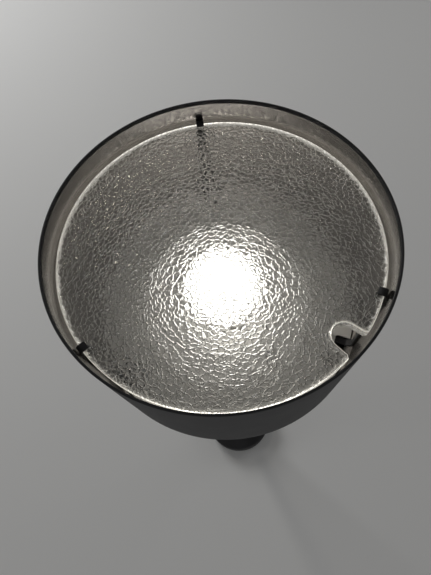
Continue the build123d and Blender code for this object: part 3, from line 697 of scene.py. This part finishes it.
class LAMP_OT_clips(bpy.types.Operator):
    """Adds the three bent clips: one strip for the foot, ramp, leg and tab, and one for the lug"""
    bl_idname = "lamp.clips"
    bl_label = "Lens Clips"

    def execute(self, context):
        settings, shell = context.scene.lamp_clips, context.scene.lamp_shell
        half = settings.thickness / 2
        foot, tab = CLIP_LOW.z + half, CLIP_HIGH.z - half
        # the ramp lies as far from the cone's wall as the leg does from the drum's
        slope = (HEAD_RADIUS - COLLAR_HIGH.x) / shell.cone_height
        gap = HEAD_RADIUS - shell.wall - settings.leg
        heel = COLLAR_HIGH.x + (foot - HEAD_LOW.z) * slope - (shell.wall + gap) * np.hypot(1, slope)
        knee = foot + (settings.leg - heel) / slope
        step = 0.002
        strip = spread(rounded([
            (settings.foot_end, foot, 0),
            (heel, foot, settings.bend),
            (settings.leg, knee, settings.bend),
            (settings.leg, tab, settings.bend),
            (settings.tab_end, tab, 0),
        ]), step, closed=False)
        lug = tab - settings.lug_drop
        tongue = np.array([[settings.leg, lug], [settings.tab_end, lug]])
        aside = settings.width / 2
        section = rounded([(x, y, settings.corner) for x, y in
                           ((aside, -half), (aside, half), (-aside, half), (-aside, -half))], 4)
        black = powder_coat("clip_paint", slot_colour("clip_black"), 0.0004)
        for number, angle in enumerate(np.radians(CLIP_ANGLES), start=1):
            parts = carried(strip, section, angle), carried(tongue, section, angle)
            clip = made_of(f"bent_clip_{number}", *parts)
            finish(clip, black, "lamp", "clip_black", f"lens_clip_{number}")
        return {"FINISHED"}


# ---------------------------------------------------------------- stand
class LAMP_OT_stand(bpy.types.Operator):
    """Adds the base's cover, the stem, the head's collar and the cable gland, all turned with broken edges"""
    bl_idname = "lamp.stand"
    bl_label = "Base and Stem"

    def execute(self, context):
        settings = context.scene.lamp_stand
        edge = settings.edge
        cover_step, tube_step = 0.004, 0.01
        outer, low, high = COVER_HIGH.x, COVER_LOW.z, COVER_HIGH.z
        inner, under = outer - settings.cover_wall, high - settings.cover_wall
        inner_round = settings.cover_round - settings.cover_wall
        black = powder_coat("base_paint", slot_colour("black_paint"))
        cover = revolved("pressed_cover", spread(rounded([
            (inner, low, 0), (outer, low, edge), (outer, high, settings.cover_round),
            (settings.cover_hole, high, edge), (settings.cover_hole, under, 0), (inner, under, inner_round),
        ]), cover_step), 192)
        finish(cover, black, "lamp", "black_paint", "base_cover")
        for name, node, low, high, bore in (
                ("stem", "stem_tube", STEM_LOW, STEM_HIGH, settings.stem_bore),
                ("neck_collar", "head_collar", COLLAR_LOW, COLLAR_HIGH, settings.collar_bore)):
            outline = spread(rounded([
                (bore, low.z, 0), (high.x, low.z, edge), (high.x, high.z, edge), (bore, high.z, 0),
            ]), tube_step)
            finish(revolved(name, outline, 96), black, "lamp", "black_paint", node)

        # gland: a nut behind the cover's wall, a neck through it, and a flange with a stepped nose outside
        flange, neck, bore = GLAND_HIGH.x, settings.gland_neck, settings.gland_bore
        inside, outside = GLAND_LOW.y, GLAND_HIGH.y
        nut, behind, off = flange - 0.0004, 0.001, 0.0001
        flange_depth, slope_depth = 0.0009, 0.0014
        nose, tip = neck + 0.0006, neck - 0.0002
        face, back = outer + off, inner - behind
        outline = rounded([
            (bore, inside, edge), (nut, inside, edge), (nut, back, edge), (neck, back, 0),
            (neck, face, 0), (flange, face, edge), (flange, face + flange_depth, 2 * edge),
            (nose, face + slope_depth, edge), (tip, outside, edge), (bore, outside, edge),
        ])
        gland = revolved("cord_gland", outline, 96)
        # the gland's axis lies along +Y: x stays, y becomes -z and z becomes y
        lifted = Matrix.Translation((0, 0, (GLAND_LOW.z + GLAND_HIGH.z) / 2))
        gland.data.transform(lifted @ Matrix.Rotation(-np.pi / 2, 4, "X"))
        nylon = moulded("cord_gland_nylon", slot_colour("plastic_black"), 0.45)
        finish(gland, nylon, "lamp", "plastic_black", "cable_gland")
        return {"FINISHED"}


# ---------------------------------------------------------------- bulb
class LAMP_OT_bulb(bpy.types.Operator):
    """Adds the bulb's glowing opal globe and its rolled screw cap"""
    bl_idname = "lamp.bulb"
    bl_label = "Lit Bulb"

    def execute(self, context):
        settings = context.scene.lamp_light
        radius = GLOBE_HIGH.x
        middle = GLOBE_HIGH.z - radius
        rim = np.arcsin((GLOBE_LOW.z - middle) / radius)
        rows, columns = 60, 128
        turn = np.linspace(rim, np.pi / 2, rows)
        skin = np.stack([radius * np.cos(turn), middle + radius * np.sin(turn)], axis=-1)
        lining = (skin[::-1] - (0, middle)) * (1 - settings.globe_wall / radius) + (0, middle)
        lining = lining[lining[:, 1] > GLOBE_LOW.z]
        foot = np.array([[radius * np.cos(rim) - settings.globe_wall, GLOBE_LOW.z]])
        globe = welded(revolved("opal_globe", np.concatenate([skin, lining, foot]), columns))
        globe.visible_shadow = False
        finish(globe, opal_globe(settings), "bulb", "bulb_opal", "bulb_globe")

        # screw cap: radius = mean + half the depth * cos(height / pitch - turn), fading out at both ends
        low, high, wall = CAP_LOW.z, CAP_HIGH.z, settings.cap_wall
        rows, columns, drawn_in = 97, 96, 0.0008
        height = np.linspace(low, high, rows)[:, None]
        spin = np.linspace(0, TURN, columns, endpoint=False)
        ends = np.clip(np.minimum(height - low, high - height) / settings.thread_pitch, 0, 1)
        wave = np.cos(TURN * height / settings.thread_pitch - spin) * ends
        crest = CAP_HIGH.x - settings.thread_depth * (1 - wave) / 2
        bevel = np.clip(1 - (height - low) / drawn_in, 0, 1) * drawn_in
        radius = np.concatenate([crest - bevel, (crest - bevel - wall)[::-1]])
        level = np.concatenate([height, height[::-1]]) + 0 * radius
        points = np.stack([radius * np.cos(spin), radius * np.sin(spin), level], axis=-1).reshape(-1, 3)
        cap = make_mesh("rolled_cap", points, grid_quads(2 * rows, columns, close_rows=True))
        finish(cap, metal("cap_nickel", slot_colour("nickel"), 0.22), "bulb", "nickel", "bulb_cap")
        return {"FINISHED"}


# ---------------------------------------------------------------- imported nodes
class LAMP_OT_packed_finishes(bpy.types.Operator):
    """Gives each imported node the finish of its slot"""
    bl_idname = "lamp.packed_finishes"
    bl_label = "Packed Finishes"

    def execute(self, context):
        finishes = slot_finishes()
        for entry in frame["record"]["subparts"]:
            node = frame["nodes"][entry["node"]]
            if entry["material_slot"] in finishes:
                node.data.materials.clear()
                node.data.materials.append(finishes[entry["material_slot"]])
        return {"FINISHED"}


# ---------------------------------------------------------------- stage
def soft_box(name, place, aim, size, power):
    """Area lamp at a place, turned towards a point."""
    lamp = bpy.data.lights.new(name, "AREA")
    lamp.size = size
    lamp.energy = power
    box = bpy.data.objects.new(name, lamp)
    box.location = place
    box.rotation_mode = "QUATERNION"
    box.rotation_quaternion = (Vector(aim) - Vector(place)).to_track_quat("-Z", "Y")
    bpy.context.scene.collection.objects.link(box)
    return box


class LAMP_OT_stage(bpy.types.Operator):
    """Adds the floor, the soft light and the camera"""
    bl_idname = "lamp.stage"
    bl_label = "Stage"

    def execute(self, context):
        settings = context.scene.lamp_stage
        scene = context.scene
        scene.view_settings.view_transform = "Standard"
        half = 6.0
        corners = np.array([[-half, -half, 0], [half, -half, 0], [half, half, 0], [-half, half, 0]])
        floor = make_mesh("floor", corners, np.array([[0, 1, 2, 3]]))
        paint = Shader("floor_paint")
        clouded = paint.mix(paint.noise(0.6, 3.0), scaled(settings.floor, 0.98), scaled(settings.floor, 1.02))
        floor.data.materials.append(paint.surface(Base_Color=clouded, Roughness=0.8))

        # the camera, metal and glass see the room paler than it shines on matt surfaces
        room = Shader("room", "worlds")
        shown, shiny, through = (room.add("ShaderNodeLightPath", output=f"Is {ray} Ray")
                                 for ray in ("Camera", "Glossy", "Transmission"))
        shown = shown.math("MAXIMUM", shown.math("MAXIMUM", shown, shiny), through)
        glow = room.add("ShaderNodeBackground", None, {
            "Color": (1.0, 1.0, 1.0), "Strength": settings.sky + shown * (settings.backdrop - settings.sky)})
        scene.world = room.finished(glow, "ShaderNodeOutputWorld")

        low_aim, high_aim, size = (0, 0, 0.2), (0, 0, 0.35), 0.9
        for name, place, aim, power in (
                ("key", (-1.2, 1.5, 1.1), low_aim, 12.5), ("fill", (1.4, 1.2, 1.0), low_aim, 2.5),
                ("front", (1.0, -2.6, 0.55), high_aim, 14), ("side", (-2.7, -0.3, 0.55), high_aim, 9)):
            soft_box(name, place, aim, size, power * settings.lamps)
        # a small warm window that mirrors in the glass, back left
        window = soft_box("window", (-0.546, 0.924, 1.69), (-0.064, 0.037, 0.582), 0.12, 0.8 * settings.lamps)
        window.data.color = (1.0, 0.93, 0.8)

        camera = bpy.data.cameras.new("camera")
        camera.sensor_width = 36.0
        camera.lens = 27.05
        eye = bpy.data.objects.new("camera", camera)
        # from above and in front, in head radii from the mouth's centre
        stand = Vector((0, 0, MOUTH)) + Vector((0.166, -1.293, 2.024)) * HEAD_RADIUS
        heading, tilt, roll = np.radians((9.68, 64.73, -8.77))
        ahead = Vector((-np.sin(heading) * np.cos(tilt), np.cos(heading) * np.cos(tilt), -np.sin(tilt)))
        level = ahead.cross(Vector((0, 0, 1))).normalized()
        right = level * np.cos(roll) + level.cross(ahead) * np.sin(roll)
        up = right.cross(ahead)
        turn = Matrix((right, up, -ahead)).transposed().to_4x4()
        eye.matrix_world = Matrix.Translation(stand) @ turn
        scene.collection.objects.link(eye)
        scene.camera = eye
        return {"FINISHED"}


class LAMP_PT_panel(bpy.types.Panel):
    bl_label = "Projector Lamp"
    bl_idname = "LAMP_PT_panel"
    bl_space_type = "VIEW_3D"
    bl_region_type = "UI"
    bl_category = "Lamp"

    def draw(self, context):
        for operator in OPERATORS:
            self.layout.operator(operator.bl_idname)
        for name in SETTINGS:
            group = getattr(context.scene, name)
            for prop in group.bl_rna.properties.keys():
                if prop not in ("rna_type", "name"):
                    self.layout.prop(group, prop)


OPERATORS = (LAMP_OT_packed_finishes, LAMP_OT_head, LAMP_OT_clips, LAMP_OT_stand, LAMP_OT_bulb, LAMP_OT_glass,
             LAMP_OT_stage)
SETTINGS = {
    "lamp_glass": LampGlassSettings,
    "lamp_shell": LampShellSettings,
    "lamp_clips": LampClipSettings,
    "lamp_stand": LampStandSettings,
    "lamp_light": LampLightSettings,
    "lamp_stage": LampStageSettings,
}


def register():
    for group in SETTINGS.values():
        bpy.utils.register_class(group)
    for name, group in SETTINGS.items():
        setattr(bpy.types.Scene, name, bpy.props.PointerProperty(type=group))
    for cls in (*OPERATORS, LAMP_PT_panel):
        bpy.utils.register_class(cls)


def unregister():
    for cls in (LAMP_PT_panel, *reversed(OPERATORS)):
        bpy.utils.unregister_class(cls)
    for name, group in SETTINGS.items():
        delattr(bpy.types.Scene, name)
        bpy.utils.unregister_class(group)


def main():
    register()
    bpy.ops.lamp.packed_finishes()
    bpy.ops.lamp.head()
    bpy.ops.lamp.clips()
    bpy.ops.lamp.stand()
    bpy.ops.lamp.bulb()
    bpy.ops.lamp.glass()
    bpy.ops.lamp.stage()


if __name__ == "__main__":
    main()
